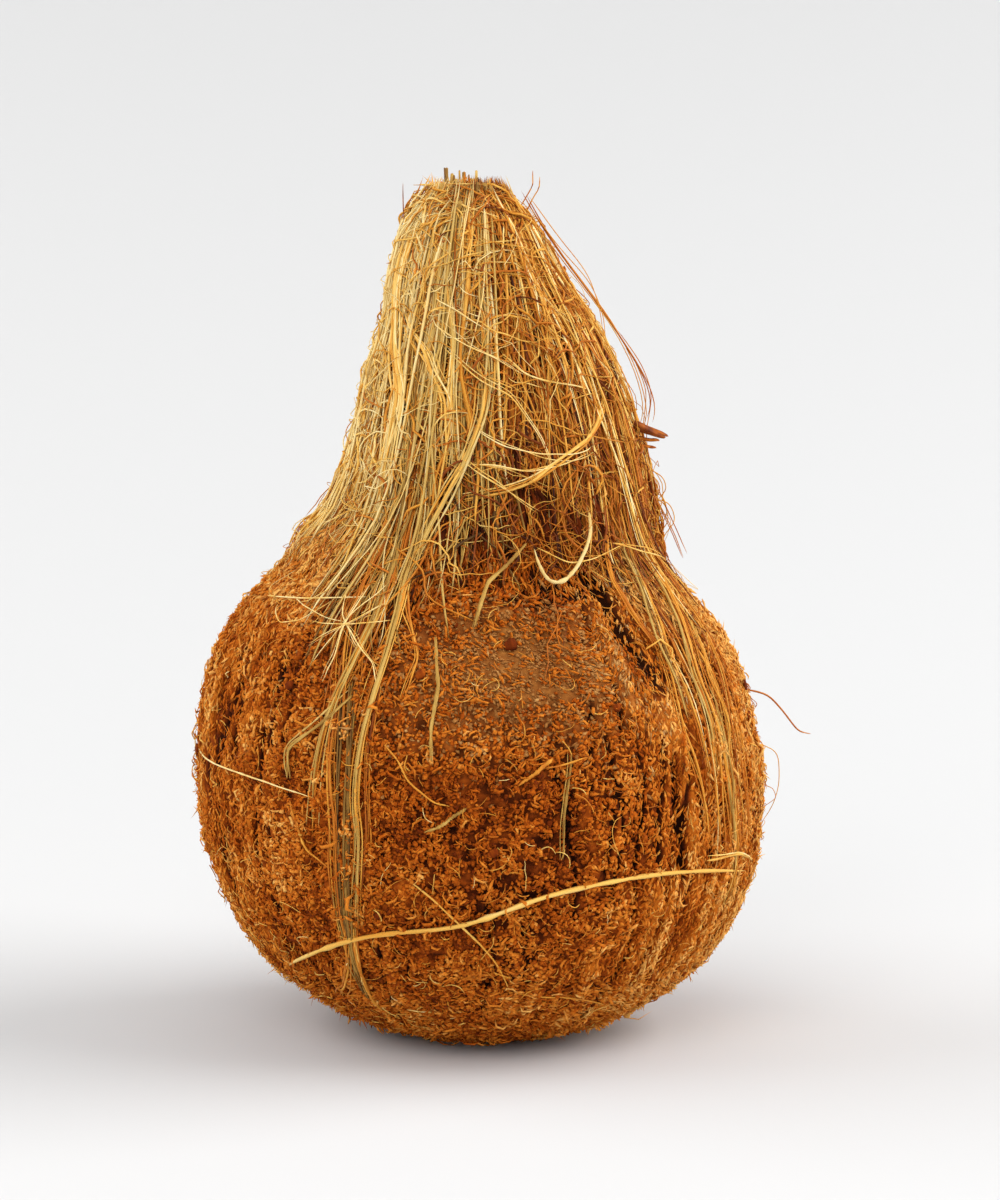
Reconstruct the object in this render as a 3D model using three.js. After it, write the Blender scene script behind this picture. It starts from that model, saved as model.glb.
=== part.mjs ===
// A semi-husked mature coconut, in millimetres, +Z up, standing on the small flat spot at its
// blossom end. It grew as one piece, so it is one solid: a slightly three-sided nut under a felt of
// husk pith, and over its eyes a tuft of combed husk fibre that hangs on as a neck.
// The origin is the centre of the resting spot. The front is -Y, and azimuths turn from there to +X.
import * as THREE from "three";

const DEGREE = Math.PI / 180;

// The nut: a full half ellipsoid below its equator and another above it. A fullness of 2 is a true
// ellipse, and more is squarer.
const EQUATOR_R = 58.8;
const EQUATOR_Z = 54;
const LOWER = { height: 54.8, fullness: 2.25 }; // its lowest tip is worn off flat at z = 0
const UPPER = { height: 56, fullness: 2.12 };
const NUT_DEPTH = 0.97; // front to back over side to side
const FACE_SWELL = 1.1; // how far the three seams stand out from the three faces
const SEAM_AZIMUTHS = [-30, 62, 186]; // the three ridges of fibre that run down along the seams

// The tuft: [height, half width] from where it leaves the nut to its sheared tip.
const TUFT = [
  [84, 45],
  [94, 43],
  [102, 38.2],
  [110, 33],
  [118, 30.4],
  [131, 26.6],
  [139, 24.3],
  [148, 20.5],
  [156, 17.4],
  [164, 14],
  [169, 12],
  [173, 9],
  [176, 6.4],
];
const TUFT_TOP = TUFT.at(-1)[0];
const TUFT_DEPTH = 0.9;
const TIP_RAGGED = 1.2; // how unevenly the bundles end at the tip

// The middle of the section at each height: [height, sideways, backwards].
const MIDDLE = [
  [0, 0, 0],
  [8, 0.3, 0],
  [22, -0.5, 0],
  [38, -1.2, 0.2],
  [54, -2.2, 0.4],
  [92, -4.1, 0.4],
  [102, -2.7, 0],
  [110, 1, -0.6],
  [119, 2, -0.5],
  [131, 1.8, 0],
  [148, 0.4, 0.6],
  [156, -1.9, 1.2],
  [165, -3.1, 1.8],
  [TUFT_TOP, -4.6, 2.2],
];

// The hem, where the tuft was trimmed away from the nut.
const HEM_HIGH = 106; // over the left face, where the bare shoulder meets the neck in a notch
const HEM_FRONT = 95; // over the front face, where the tuft hangs lower
const HEM_SEAM = 82; // along a seam, where its fibres run on down the ridge
const FRONT_AZIMUTH = 16;
const FRONT_SPREAD = 44; // degrees
const HEM_STEP = 9; // the height over which the tuft's thickness runs out below the hem
const HEM_TUCK = 4; // how far it draws in there
const HEM_SOFTNESS = 2.5; // how roundly the tuft and the nut meet
const CREVICE_DEPTH = 2.4; // the hollow under the front hem
const CREVICE_HEIGHT = 9;

// The ridges of fibre on the seams, thick at the shoulder and thin near the base.
const RIDGE_RISE = 1.8;
const RIDGE_SPREAD = 14; // degrees
const RIDGE_FADE_LOW = 6;
const RIDGE_FADE_HIGH = 80;

// The bundles that the tuft is combed into: [how many round the neck, how far they stand out, phase].
const BUNDLES = [
  [11, 0.5, 0],
  [17, 0.35, 70],
];

const AROUND = 66;
const UP_THE_SIDE = 50;
const ACROSS_AN_END = 2;
const PROFILE_SAMPLES = 400;

const smooth = (low, high, value) => THREE.MathUtils.smoothstep(value, low, high);

// The smallest turn between two azimuths, in degrees.
const between = (a, b) => Math.abs(((a - b + 540) % 360) - 180);

const bump = (distance, spread) => Math.exp(-((distance / spread) ** 2));

// One column of a table of stations at a height, eased from each station to the next.
function atHeight(stations, z, column) {
  const above = stations.findIndex(([height]) => height >= z);
  if (above === 0) return stations[0][column];
  if (above < 0) return stations.at(-1)[column];
  const [low, high] = [stations[above - 1], stations[above]];
  return THREE.MathUtils.lerp(low[column], high[column], (z - low[0]) / (high[0] - low[0]));
}

// The larger of two radii, rounded off where they cross.
const softMax = (a, b) => (a + b + Math.hypot(a - b, HEM_SOFTNESS)) / 2;

function nutRadius(z) {
  const { height, fullness } = z > EQUATOR_Z ? UPPER : LOWER;
  const rise = Math.abs(z - EQUATOR_Z) / height;
  return EQUATOR_R * Math.max(0, 1 - rise ** fullness) ** (1 / fullness);
}

// The outline without seams, bundles or hem, which the surface is swept from.
const plainRadius = (z) => Math.max(nutRadius(z), z > TUFT[0][0] ? atHeight(TUFT, z, 1) : 0);

function surfaceRadius(azimuth, z) {
  const seamDistance = Math.min(...SEAM_AZIMUTHS.map((seam) => between(azimuth, seam)));
  const onSeam = bump(seamDistance, RIDGE_SPREAD);
  const inFront = bump(between(azimuth, FRONT_AZIMUTH), FRONT_SPREAD);
  const { lerp } = THREE.MathUtils;
  const hem = lerp(lerp(HEM_HIGH, HEM_FRONT, inFront), HEM_SEAM, onSeam);
  const facing = Math.cos(azimuth * DEGREE) ** 2;

  const swell = FACE_SWELL * Math.cos(3 * seamDistance * DEGREE) * smooth(0, EQUATOR_Z, z);
  const ridge = RIDGE_RISE * onSeam * smooth(RIDGE_FADE_LOW, RIDGE_FADE_HIGH, z);
  const underHem = bump(z - (hem - HEM_STEP), CREVICE_HEIGHT / 2);
  const crevice = CREVICE_DEPTH * underHem * inFront * (1 - onSeam);
  const nut = (nutRadius(z) + swell + ridge - crevice) * lerp(1, NUT_DEPTH, facing);
  if (z < TUFT[0][0] - HEM_STEP) return nut;

  const combed = BUNDLES.reduce(
    (sum, [count, rise, phase]) => sum + rise * Math.cos((azimuth * count + phase) * DEGREE),
    0,
  );
  const drawnIn = HEM_TUCK * (1 - smooth(hem - HEM_STEP, hem, z));
  const tuft = (atHeight(TUFT, z, 1) + combed - drawnIn) * lerp(1, TUFT_DEPTH, facing);
  return softMax(nut, tuft);
}

// The upright outline, evenly stepped, from the middle of the resting spot to the middle of the tip.
function outline() {
  const side = [];
  for (let i = 0; i <= PROFILE_SAMPLES; i++) {
    const z = (TUFT_TOP * i) / PROFILE_SAMPLES;
    side.push(new THREE.Vector2(plainRadius(z), z));
  }
  const points = new THREE.SplineCurve(side).getSpacedPoints(UP_THE_SIDE);
  points[0].y = 0;
  const across = (from, share) => new THREE.Vector2(from.x * share, from.y);
  const [first, last] = [points[0], points.at(-1)];
  const shares = Array.from({ length: ACROSS_AN_END }, (_, i) => i / ACROSS_AN_END);
  const spot = shares.map((share) => across(first, share));
  const tip = shares.map((share) => across(last, share)).reverse();
  return [...spot, ...points, ...tip];
}

function coconutGeometry() {
  const geometry = new THREE.LatheGeometry(outline(), AROUND).rotateX(90 * DEGREE);
  const position = geometry.attributes.position;
  const vertex = new THREE.Vector3();
  for (let i = 0; i < position.count; i++) {
    vertex.fromBufferAttribute(position, i);
    const z = Math.max(0, vertex.z);
    const outward = Math.hypot(vertex.x, vertex.y);
    // A vertex on the axis has no azimuth of its own, and the ragged tip fades out there.
    const azimuth = outward > 1e-6 ? Math.atan2(vertex.x, -vertex.y) / DEGREE : 0;
    const share = outward / plainRadius(z);
    const radius = share * surfaceRadius(azimuth, z);
    const ragged = Math.sin(azimuth * 7 * DEGREE) + 0.6 * Math.sin(azimuth * 3 * DEGREE + 1);
    const rise = TIP_RAGGED * share * ragged * smooth(TUFT_TOP - 12, TUFT_TOP, z);
    position.setXYZ(
      i,
      atHeight(MIDDLE, z, 1) + radius * Math.sin(azimuth * DEGREE),
      atHeight(MIDDLE, z, 2) - radius * Math.cos(azimuth * DEGREE),
      z + rise,
    );
  }
  geometry.computeVertexNormals();
  return geometry;
}

const husk = new THREE.MeshStandardMaterial({ color: 0xa65f24, roughness: 0.95, metalness: 0 });
const coconut = new THREE.Mesh(coconutGeometry(), husk);
coconut.name = "coconut";

const group = new THREE.Group();
group.add(coconut);

export default group;
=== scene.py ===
"""A mature coconut with most of its husk stripped off, standing on its blossom end.

The nut wears a felt of curly husk pith. Long husk fibres run down its three seams, and more of them
are left standing over its eyes as a combed tuft. The CAD solid gives the shape, and the pith and
the fibres are built on it.

Lengths are in millimetres until a mesh is made. Azimuths are in degrees, from the front (-Y)
towards +X.
"""

import math

import bmesh
import bpy
import numpy as np
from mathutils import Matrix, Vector, noise
from mathutils.bvhtree import BVHTree


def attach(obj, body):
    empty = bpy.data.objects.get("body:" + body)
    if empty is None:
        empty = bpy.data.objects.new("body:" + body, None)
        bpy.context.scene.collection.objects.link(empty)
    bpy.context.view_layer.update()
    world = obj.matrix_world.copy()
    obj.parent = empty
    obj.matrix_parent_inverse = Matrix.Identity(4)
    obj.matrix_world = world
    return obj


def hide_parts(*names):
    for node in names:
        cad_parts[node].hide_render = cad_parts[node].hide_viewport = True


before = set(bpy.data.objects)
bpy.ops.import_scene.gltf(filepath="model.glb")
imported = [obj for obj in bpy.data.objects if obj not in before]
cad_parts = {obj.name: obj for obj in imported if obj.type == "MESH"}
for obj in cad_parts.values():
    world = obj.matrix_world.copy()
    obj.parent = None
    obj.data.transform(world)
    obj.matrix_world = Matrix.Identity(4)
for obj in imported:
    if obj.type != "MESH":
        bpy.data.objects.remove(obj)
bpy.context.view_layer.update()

MM = 0.001
scene = bpy.context.scene
seeded = np.random.default_rng


# ---------------- camera

LENS = 100
SENSOR = 36
PICTURE_HEIGHT = 250  # how much the camera takes in at the coconut
CAMERA_ELEVATION = 6
CAMERA_AIM = (2.9, 0, 90.1)


def looking_at(obj, place, target):
    obj.location = Vector(place) * MM
    obj.rotation_euler = (Vector(target) - Vector(place)).to_track_quat("-Z", "Y").to_euler()


def make_camera():
    camera = bpy.data.objects.new("camera", bpy.data.cameras.new("camera"))
    scene.collection.objects.link(camera)
    camera.data.lens = LENS
    camera.data.sensor_width = SENSOR
    camera.data.clip_start = 0.01
    distance = PICTURE_HEIGHT * LENS / SENSOR
    tilt = math.radians(CAMERA_ELEVATION)
    back = Vector((0, -math.cos(tilt), math.sin(tilt))) * distance
    looking_at(camera, Vector(CAMERA_AIM) + back, CAMERA_AIM)
    scene.camera = camera


make_camera()


# ---------------- the solid as a ground to build on


def merged_solid():
    """The CAD solid's vertices and faces, with each vertex once, in millimetres."""
    form = bmesh.new()
    form.from_mesh(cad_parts["coconut"].data)
    bmesh.ops.remove_doubles(form, verts=form.verts, dist=1e-6)
    points = [v.co / MM for v in form.verts]
    faces = [[v.index for v in f.verts] for f in form.faces]
    form.free()
    return points, faces


SOLID = merged_solid()
GROUND = BVHTree.FromPolygons(*SOLID)
AXIS = np.array([-1.5, 0.5])  # an upright line that lies inside every section
AZIMUTH_STEP, HEIGHT_STEP = 3, 1.5
REACH_AZIMUTHS = np.arange(0, 361, AZIMUTH_STEP)
REACH_HEIGHTS = np.arange(0, 176.1, HEIGHT_STEP)
OUTSIDE = 100  # a distance from the axis that is clear of the solid
OFF_FLOOR = 0.05  # the lowest that anything on the solid lies
LOWEST, HIGHEST = 1, 176  # the heights between which fibres are laid
NUT_RADIUS, TUFT_RADIUS = 58, 30


def measured_reach():
    """How far the solid reaches out from the axis, by height and azimuth."""
    rows = []
    for z in REACH_HEIGHTS:
        middle = Vector((*AXIS, max(z, OFF_FLOOR)))
        row = []
        for azimuth in np.radians(REACH_AZIMUTHS):
            out = Vector((math.sin(azimuth), -math.cos(azimuth), 0))
            hit = GROUND.ray_cast(middle + out * OUTSIDE, -out)[0]
            row.append((hit - middle).length)
        rows.append(row)
    return np.array(rows)


REACH = measured_reach()


def reach(azimuth, z):
    """The solid's reach at these azimuths and heights, between the measured ones."""
    j = (np.asarray(azimuth) % 360) / AZIMUTH_STEP
    i = np.clip(np.asarray(z) / HEIGHT_STEP, 0, len(REACH_HEIGHTS) - 1.001)
    i0, j0 = i.astype(int), np.minimum(j.astype(int), len(REACH_AZIMUTHS) - 2)
    fi, fj = i - i0, j - j0
    low = REACH[i0, j0] * (1 - fj) + REACH[i0, j0 + 1] * fj
    high = REACH[i0 + 1, j0] * (1 - fj) + REACH[i0 + 1, j0 + 1] * fj
    return low * (1 - fi) + high * fi


def placed(azimuth, z, lift=0.0):
    """Points on the solid, lifted outwards."""
    far = reach(azimuth, z) + lift
    a = np.radians(azimuth)
    return np.stack([AXIS[0] + far * np.sin(a), AXIS[1] - far * np.cos(a), z + 0 * far], axis=-1)


def azimuth_of(points):
    return np.degrees(np.arctan2(points[..., 0] - AXIS[0], AXIS[1] - points[..., 1]))


def smooth(low, high, value):
    t = np.clip((value - low) / (high - low), 0, 1)
    return t * t * (3 - 2 * t)


def between(a, b):
    return np.abs((a - b + 180) % 360 - 180)


def bump(distance, spread):
    return np.exp(-((distance / spread) ** 2))


def field(points, size, seed=0):
    """Smooth noise, from -1 to 1, with lumps about this size."""
    shift = 31.7 * seed
    return np.array(
        [noise.noise((x + shift, y - shift, z + shift)) for x, y, z in (points / size).tolist()]
    )


def streaks(azimuth, z, radius, width, stretch, seed=0):
    """The same noise drawn out along the meridians of a form of this radius."""
    a = np.radians(azimuth)
    round_it = np.stack([radius * np.sin(a), radius * np.cos(a), z / stretch], axis=-1)
    return field(round_it, width, seed)


# The parts of the coconut. What is on or in a part is told as a share, from 0 to 1.
SEAMS = (-28, 60, 186)
HEM_HIGH, HEM_FRONT, HEM_SEAM = 106, 95, 84


def hem(azimuth):
    """The height at which the tuft ends over the nut."""
    front = bump(between(azimuth, 16), 44)
    seam = bump(np.min([between(azimuth, s) for s in SEAMS], axis=0), 14)
    height = HEM_HIGH + (HEM_FRONT - HEM_HIGH) * front
    return height + (HEM_SEAM - height) * seam


def on_tuft(azimuth, z):
    return smooth(-5, 4, z - hem(azimuth))


def on_bare_patch(azimuth, z):
    """The front face below the tuft, rubbed down to a smooth greyish skin."""
    return bump(between(azimuth, 9), 27) * bump(z - 82, 13)


def in_crevice(azimuth, z):
    # Dents under the hem and by the right ridge; their felt is painted darker as painted shade.
    under_hem = 0.7 * bump(between(azimuth, 24), 15) * bump(z - 96, 3)
    line = 42 - 0.3 * (z - 78)
    by_ridge = bump(between(azimuth, line), 2.3) * smooth(70, 80, z) * (1 - smooth(100, 108, z))
    return np.clip(under_hem + by_ridge, 0, 1)


FLANKS = (-68, 28), (46, 18), (76, 14), (128, 36), (232, 34)  # the middle and the spread of each


def on_flank(azimuth, z):
    """Where the felt is furrowed: the nut's sides between its seams, and most of its foot."""
    flank = sum(bump(between(azimuth, middle), spread) for middle, spread in FLANKS)
    foot = (1 - smooth(20, 36, z)) * (1 - bump(between(azimuth, -6), 24))
    return np.clip(np.maximum(flank, 0.8 * foot), 0, 1)


# The plainest slits, beside the front seams: the azimuth, middle, half length and width of each.
PLAIN_SLITS = [
    (29, 50, 15, 0.5), (34, 47, 18, 0.45), (39, 53, 14, 0.7), (43, 52, 12, 0.7), (48, 44, 14, 0.5),
    (-57, 71, 8, 0.8), (-69, 57, 6, 0.9), (-64, 50, 16, 0.6), (17, 55, 9, 0.6), (24, 66, 8, 0.5),
]


def make_slits(tries=460):
    """The slits in the felt, where long fibres have been pulled out."""
    draw = seeded(5)
    azimuths, heights = draw.uniform(-180, 180, tries), draw.uniform(9, 88, tries)
    keep = draw.random(tries) < 0.55 * on_flank(azimuths, heights)
    places = zip(azimuths[keep], heights[keep])
    return [(a, z, draw.uniform(5, 16), draw.uniform(0.3, 0.65)) for a, z in places] + PLAIN_SLITS


SLITS = make_slits()


def in_groove(azimuth, z, wider=1.0):
    """How deep in a slit each point is."""
    deep = np.zeros(len(z))
    for where, middle, half, width in SLITS:
        near = np.flatnonzero((between(azimuth, where) < 8) & (np.abs(z - middle) < half + 3))
        wave = 0.9 * np.sin(z[near] / 5 + where)
        aside = between(azimuth[near], where + wave) * math.radians(NUT_RADIUS)
        window = 1 - smooth(half - 2, half + 3, np.abs(z[near] - middle))
        deep[near] = np.maximum(deep[near], window * np.exp(-((aside / (wider * width)) ** 2)))
    return deep * (1 - on_tuft(azimuth, z))


def in_middle(azimuth, z):
    """The middle of the front, where the felt is open and its gaps are deep."""
    # The ground and the crumbs here are painted darker, as painted shade.
    return bump(between(azimuth, 10), 30) * bump(z - 46, 24)


def fair(azimuth):
    """How much fairer the husk's fibres are here: blond on the left."""
    return 0.45 * bump(between(azimuth, -70), 38) - 0.03 * bump(between(azimuth, 55), 40)


def pithy(azimuth, z):
    """Where more pith than fibre shows in the tuft: on its right, at its hem and at its tip."""
    right = bump(between(azimuth, 62), 40) * (1 - smooth(125, 160, z))
    front = bump(between(azimuth, 14), 44) * bump(z - 102, 15)
    left = bump(between(azimuth, -42), 30) * bump(z - 98, 14)
    tip = 0.8 * bump(between(azimuth, 20), 50) * smooth(158, 172, z)
    return np.clip(0.65 * right + front + 0.7 * left + tip, 0, 1)


# ---------------- materials


def linear(code):
    """An sRGB hex colour as linear RGBA."""
    parts = [int(code[i : i + 2], 16) / 255 for i in (1, 3, 5)]
    return (*(c / 12.92 if c < 0.04045 else ((c + 0.055) / 1.055) ** 2.4 for c in parts), 1)


def add(tree, kind, inputs=None, stops=None, **settings):
    """Adds a node with its settings. Inputs are values or the sockets that feed them.

    They are given by name, or by number on the kinds of node where names repeat.
    """
    made = tree.nodes.new("ShaderNode" + kind)
    for name, value in settings.items():
        setattr(made, name, value)
    for socket, value in (inputs or {}).items():
        if isinstance(value, bpy.types.NodeSocket):
            tree.links.new(value, made.inputs[socket])
        else:
            made.inputs[socket].default_value = value
    if stops:
        elements = made.color_ramp.elements
        while len(elements) < len(stops):
            elements.new(0.5)
        for element, (position, code) in zip(elements, stops):
            element.position, element.color = position, linear(code)
    return made


def surface(name):
    """A new material and its tree, with the output ready."""
    material = bpy.data.materials.new(name)
    material.use_nodes = True
    material.node_tree.nodes.clear()
    return material, material.node_tree


def finish_surface(tree, **inputs):
    shader = add(tree, "BsdfPrincipled", {k.replace("_", " "): v for k, v in inputs.items()})
    add(tree, "OutputMaterial", {"Surface": shader.outputs[0]})


def strand_material(name, stops, roughness, specular, mottle):
    """Husk fibre or pith, whose colour follows the two numbers that each strand carries.

    U is the strand's own tone, which the stops turn to a colour, and V runs from 0 at its root to 1
    at its tip. Mottle is how much the tone changes along a strand, in patches a fifth of it long.
    """
    material, tree = surface(name)
    uv = add(tree, "UVMap", uv_map="OFBake").outputs[0]
    patches = add(tree, "Mapping", {"Vector": uv, "Scale": (150, 5, 1)}).outputs[0]
    patch = add(tree, "TexNoise", {"Vector": patches, "Scale": 1, "Detail": 1}).outputs["Fac"]
    split = add(tree, "SeparateXYZ", {"Vector": uv})
    change = add(tree, "MapRange", {"Value": patch, 1: 0.25, 2: 0.75, 3: -mottle, 4: mottle})
    tone = add(tree, "Math", {0: split.outputs[0], 1: change.outputs[0]}, operation="ADD")
    colour = add(tree, "ValToRGB", {"Fac": tone.outputs[0]}, stops=stops).outputs[0]
    finish_surface(tree, Base_Color=colour, Roughness=roughness, Specular_IOR_Level=specular)
    return material


# Husk pith: cork-like crumbs between the fibres, which dry to a matt foxy brown. Their torn edges
# are paler than their wet-stained roots.
PITH = strand_material(
    "husk_pith",
    [(0, "#2c0d01"), (0.25, "#722c06"), (0.5, "#b5580f"), (0.75, "#d88229"), (1, "#f0b963")],
    roughness=1.0, specular=0.1, mottle=0.1,
)

# Coir fibre: long bristles of the husk, golden where they are clean and brown where pith still
# clings. They are smooth, so they keep a dull shine along their length.
COIR = strand_material(
    "coir_fibre",
    [
        (0, "#3c1401"), (0.2, "#843d08"), (0.4, "#ba6614"),
        (0.6, "#d8932f"), (0.8, "#eabc5c"), (1, "#f6e0a0"),
    ],
    roughness=0.65, specular=0.2, mottle=0.14,
)

# Weathered coir: fibres that lay outermost on the husk, which sun and rain turn a dull olive straw.
OLD_COIR = strand_material(
    "weathered_coir",
    [(0, "#321b06"), (0.25, "#795320"), (0.5, "#ae843a"), (0.75, "#d0aa5a"), (1, "#e8d092")],
    roughness=0.7, specular=0.2, mottle=0.16,
)

# Worn pith: the same crumbs rubbed down on the face between the seams, drier and greyer.
WORN_PITH = strand_material(
    "worn_pith",
    [(0, "#3a1c08"), (0.25, "#76441a"), (0.5, "#a87038"), (0.75, "#c49254"), (1, "#dcb47c")],
    roughness=1.0, specular=0.1, mottle=0.1,
)

CRUMB_SIZE = 1.2 * MM  # how wide one crumb of packed pith is
STAIN_SIZE = 12 * MM  # how wide the darker and paler patches of the husk are


def ground_material():
    """The felt's ground of packed pith: foxy brown on its lumps, and painted nearly black in its
    pits, as painted shade.

    It turns golden under the tuft, and to a worn greyish brown on the bare patch.
    """
    material, tree = surface("husk_ground")
    place = add(tree, "TexCoord").outputs["Object"]
    crumb, stain = (
        add(tree, "TexNoise", {"Vector": place, "Scale": 1 / size, "Detail": detail}).outputs[0]
        for size, detail in ((CRUMB_SIZE, 3), (STAIN_SIZE, 2))
    )
    height, tuft, bare = (
        add(tree, "Attribute", attribute_name=name).outputs["Fac"]
        for name in ("height", "tuft", "bare")
    )
    # Painted shade: the colour is darker where the crumb noise and height are low, in the pits.
    level = add(tree, "Math", {0: crumb, 1: 0.55, 2: height}, operation="MULTIPLY_ADD").outputs[0]
    level = add(tree, "Math", {0: stain, 1: 0.35, 2: level}, operation="MULTIPLY_ADD").outputs[0]
    shade = add(tree, "MapRange", {"Value": level, 1: 0.45, 2: 1.15}).outputs[0]
    pith, golden, worn = (
        add(tree, "ValToRGB", {"Fac": shade}, stops=stops).outputs[0]
        for stops in (
            [(0, "#1e0700"), (0.35, "#461802"), (0.7, "#8a3c08"), (1, "#b86418")],
            [(0, "#1e0800"), (0.35, "#461c04"), (0.7, "#86460e"), (1, "#b87a2a")],
            [(0, "#381806"), (0.4, "#723c14"), (0.8, "#9c622a"), (1, "#b47e42")],
        )
    )
    colour = add(tree, "Mix", {0: tuft, 6: pith, 7: golden}, data_type="RGBA").outputs[2]
    colour = add(tree, "Mix", {0: bare, 6: colour, 7: worn}, data_type="RGBA").outputs[2]
    rough = add(tree, "Bump", {"Strength": 0.6, "Distance": 0.4 * MM, "Height": crumb}).outputs[0]
    finish_surface(tree, Base_Color=colour, Roughness=1.0, Specular_IOR_Level=0.1, Normal=rough)
    return material


# ---------------- pieces


def added(name, mesh, material):
    """A finished piece of the coconut."""
    piece = bpy.data.objects.new(name, mesh)
    scene.collection.objects.link(piece)
    mesh.materials.clear()
    mesh.materials.append(material)
    mesh.polygons.foreach_set("use_smooth", np.ones(len(mesh.polygons), bool))
    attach(piece, "root")
    return piece


TONES = 0.03, 0.97  # the darkest and the palest that a strand may be
TONE_WIDTH = 0.002  # how far a strand's tone spreads round it, so that no face is a line on the map


def strand_template(points, sides):
    """One strand's triangles: their vertices, how far along each corner is, and how far round."""
    last = 1 + (points - 2) * sides
    corners = []

    def corner(j, k):
        at = 0 if j == 0 else last if j == points - 1 else 1 + (j - 1) * sides + k % sides
        return at, j, k

    for j in range(points - 1):
        for k in range(sides):
            a, b, c, d = corner(j, k), corner(j, k + 1), corner(j + 1, k + 1), corner(j + 1, k)
            if j < points - 2:
                corners.append((a, d, c))
            if j > 0:
                corners.append((a, c, b))
    return np.array(corners)


def strands(name, paths, radii, tones, material, sides=3, flat=1.0, rough=0.0):
    """One piece of closed strands, each with a point at both ends.

    Paths are (strands, points, 3), radii (strands, points) and tones (strands,). Flat is how high a
    strand is for its width, and rough is how unevenly it is drawn round.
    """
    count, points, _ = paths.shape
    along = np.gradient(paths, axis=1)
    along /= np.linalg.norm(along, axis=2, keepdims=True) + 1e-9
    outward = paths - np.array([*AXIS, 60])
    outward[..., 2] *= 0.3
    # each strand is turned a little its own way
    outward += 3 * np.sin(np.arange(count * 3).reshape(count, 1, 3) * 2.4)
    across = np.cross(along, outward)
    across /= np.linalg.norm(across, axis=2, keepdims=True) + 1e-9
    over = np.cross(across, along)
    turn = np.arange(sides) * 2 * np.pi / sides
    ring = np.cos(turn)[:, None] * across[:, 1:-1, None]
    ring = ring + flat * np.sin(turn)[:, None] * over[:, 1:-1, None]
    if rough:
        uneven = seeded(count).normal(size=ring.shape[:3])
        ring = ring * (1 + rough * uneven[..., None])
    rings = paths[:, 1:-1, None] + radii[:, 1:-1, None, None] * ring
    vertices = np.concatenate([paths[:, :1], rings.reshape(count, -1, 3), paths[:, -1:]], axis=1)
    vertices[..., 2] = np.maximum(vertices[..., 2], OFF_FLOOR)

    template = strand_template(points, sides)
    each = vertices.shape[1]
    corners = (template[..., 0].ravel() + each * np.arange(count)[:, None]).ravel()
    u = tones[:, None] + TONE_WIDTH * (template[..., 2].ravel() - sides / 2)
    v = np.broadcast_to(0.01 + 0.98 * template[..., 1].ravel() / (points - 1), u.shape)

    mesh = bpy.data.meshes.new(name)
    mesh.vertices.add(count * each)
    mesh.vertices.foreach_set("co", (vertices * MM).astype(np.float32).ravel())
    mesh.loops.add(len(corners))
    mesh.loops.foreach_set("vertex_index", corners.astype(np.int32))
    mesh.polygons.add(len(corners) // 3)
    mesh.polygons.foreach_set("loop_start", np.arange(0, len(corners), 3, dtype=np.int32))
    mesh.update(calc_edges=True)
    places = np.stack([np.clip(u, 0.005, 0.995), v], axis=-1)
    mesh.uv_layers.new(name="OFBake").uv.foreach_set("vector", places.astype(np.float32).ravel())
    added(name, mesh, material)


# ---------------- the ground of packed pith

VOXEL = 0.88  # fine enough for the pits between crumbs
SKIN = ground_material()


def make_ground():
    """The solid, remeshed finely: lumps, pits and slits on the nut, and furrows under the tuft."""
    points, faces = SOLID
    mesh = bpy.data.meshes.new("husk_skin")
    mesh.from_pydata([p * MM for p in points], [], faces)
    rough = bpy.data.objects.new("rough", mesh)
    scene.collection.objects.link(rough)
    remesh = rough.modifiers.new("even", "REMESH")
    remesh.mode, remesh.voxel_size = "VOXEL", VOXEL * MM
    depsgraph = bpy.context.evaluated_depsgraph_get()
    even = bpy.data.meshes.new_from_object(rough.evaluated_get(depsgraph))
    bpy.data.objects.remove(rough)
    even.name = "husk_skin"

    place = np.empty(len(even.vertices) * 3, np.float32)
    even.vertices.foreach_get("co", place)
    place = place.reshape(-1, 3) / MM
    normal = np.empty(len(even.vertices) * 3, np.float32)
    even.vertex_normals.foreach_get("vector", normal)
    normal = normal.reshape(-1, 3)
    azimuth, z = azimuth_of(place), place[:, 2]
    tuft, bare, flank = on_tuft(azimuth, z), on_bare_patch(azimuth, z), on_flank(azimuth, z)
    crevice, groove = in_crevice(azimuth, z), in_groove(azimuth, z)

    lumps = (0.8 * field(place, 4.5) + 0.8 * field(place, 2.2, 1)) * (1 - 0.5 * flank)
    grain = (0.3 + 1.7 * flank) * streaks(azimuth, z, NUT_RADIUS, 2.4, 9, 2)
    furrows = streaks(azimuth, z, TUFT_RADIUS, 1.7, 12, 3)
    furrows = furrows + 0.9 * streaks(azimuth, z, TUFT_RADIUS, 4.5, 12, 4)
    rise = (lumps + grain) * (1 - 0.6 * bare)
    rise = rise * (1 - tuft) + (furrows - 0.9) * tuft - 1.5 * crevice - 1.3 * groove
    rise *= smooth(0.2, 5, z)  # the foot stays flat
    place += normal * (rise - 0.25)[:, None]
    place[:, 2] = np.maximum(place[:, 2], 0)
    even.vertices.foreach_set("co", (place * MM).astype(np.float32).ravel())

    # Painted shade: the colour level drops with rise, crevice, groove and the front's middle.
    height = 0.4 + 0.28 * rise - 0.35 * crevice - 0.35 * groove
    height = height - 0.16 * in_middle(azimuth, z) + 0.12 * on_flank(azimuth, z)
    height = height - 0.12 * tuft * pithy(azimuth, z)
    height = height + 0.2 * tuft * bump(between(azimuth, -70), 38)
    height = height + 0.14 * tuft * bump(between(azimuth, 62), 30) * smooth(104, 118, z)
    for name, values in {
        "height": height,
        "tuft": tuft * (1 - 0.8 * pithy(azimuth, z)),
        "bare": np.clip(1.3 * bare, 0, 1),
    }.items():
        attribute = even.attributes.new(name, "FLOAT", "POINT")
        attribute.data.foreach_set("value", values.astype(np.float32))
    even.update()
    skin = added("husk_skin", even, SKIN)
    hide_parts("coconut")
    return even


ground = make_ground()


# ---------------- crumbs of pith


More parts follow.
